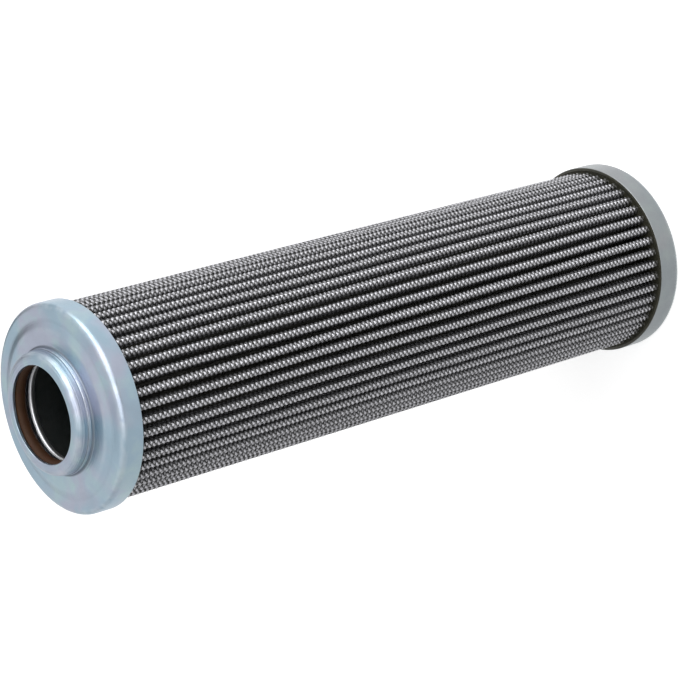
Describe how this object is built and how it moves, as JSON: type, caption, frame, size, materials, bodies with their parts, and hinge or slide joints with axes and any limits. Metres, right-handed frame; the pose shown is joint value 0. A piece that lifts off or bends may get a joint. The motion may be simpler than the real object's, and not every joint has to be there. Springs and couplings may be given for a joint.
{
  "type": "hydraulic filter element",
  "caption": "Pleated wire-cloth pressure filter element with pressed end caps and a sealed spigot bore in the open neck; oil passes from outside to the core.",
  "frame": {"origin": "centre of the closed end's seat, at the bottom of the object", "axes": "+Z along the element's axis, from the closed end to the open neck; +X through the tip of the first pleat"},
  "size_m": [0.047, 0.047, 0.174],
  "materials": {
    "open_cap": "blue-passivated zinc plate",
    "closed_cap": "blue-passivated zinc plate",
    "seal": "moulded brown fluoro rubber",
    "retainer": "bright zinc plate",
    "tube": "zinc plate",
    "outer_cloth": "woven stainless wire",
    "fleece": "polyester fleece",
    "media": "glass fibre",
    "inner_cloth": "woven stainless wire",
    "resin": "cast epoxy",
    "glue": "cast epoxy"
  },
  "bodies": {
    "root": {"open_end_cap": "open_cap", "closed_end_cap": "closed_cap", "seal_ring": "seal", "seal_retainer": "retainer", "support_tube": "tube", "outer_mesh": "outer_cloth", "outer_fleece": "fleece", "filter_media": "media", "inner_fleece": "fleece", "inner_mesh": "inner_cloth", "upper_potting": "resin", "lower_potting": "resin", "side_seam": "glue"}
  },
  "joints": []
}
